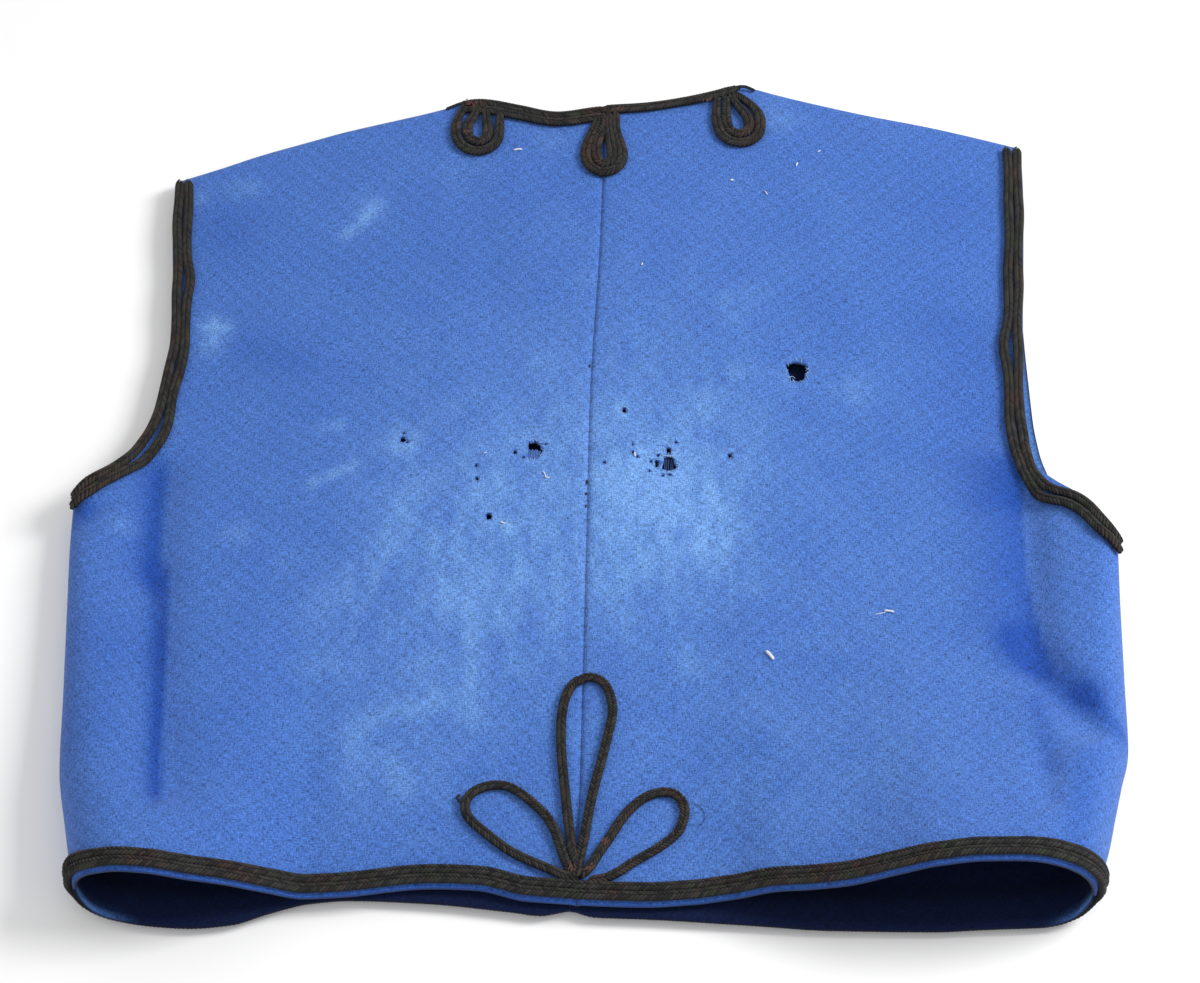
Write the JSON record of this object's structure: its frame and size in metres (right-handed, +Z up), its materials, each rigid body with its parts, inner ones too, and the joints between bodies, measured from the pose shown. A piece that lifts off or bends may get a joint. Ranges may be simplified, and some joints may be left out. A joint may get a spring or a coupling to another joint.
{
  "type": "sleeveless folk vest",
  "caption": "Sleeveless folk vest of blue woollen cloth edged with black cord braid, laid flat on its front with its back up and its hem gaping at both sides.",
  "frame": {"origin": "middle of the vest's box in plan, on the surface that it lies on", "axes": "+Z up from that surface through the back, +Y from the hem to the neck, +X to the right with the neck away from the viewer"},
  "size_m": [0.4423, 0.4591, 0.049],
  "materials": {
    "outer_cloth": "matt woollen plain weave, faded in patches",
    "inner_cloth": "matt woollen plain weave, deep blue inside",
    "braid": "plaited black woollen cord"
  },
  "bodies": {
    "root": {"back_left": "outer_cloth", "back_right": "outer_cloth", "front_left": "inner_cloth", "front_right": "inner_cloth", "hem_braid_outer": "braid", "hem_braid_inner": "braid", "left_armhole_braid_outer": "braid", "left_armhole_braid_inner": "braid", "right_armhole_braid_outer": "braid", "right_armhole_braid_inner": "braid", "neck_braid_left_upper": "braid", "neck_braid_left_lower": "braid", "neck_braid_right_lower": "braid", "neck_braid_right_upper": "braid", "left_loop_outer": "braid", "left_loop_inner": "braid", "centre_loop_outer": "braid", "centre_loop_inner": "braid", "right_loop_outer": "braid", "right_loop_inner": "braid", "left_petal": "braid", "centre_petal": "braid", "right_petal": "braid", "trefoil_root": "braid"}
  },
  "joints": []
}
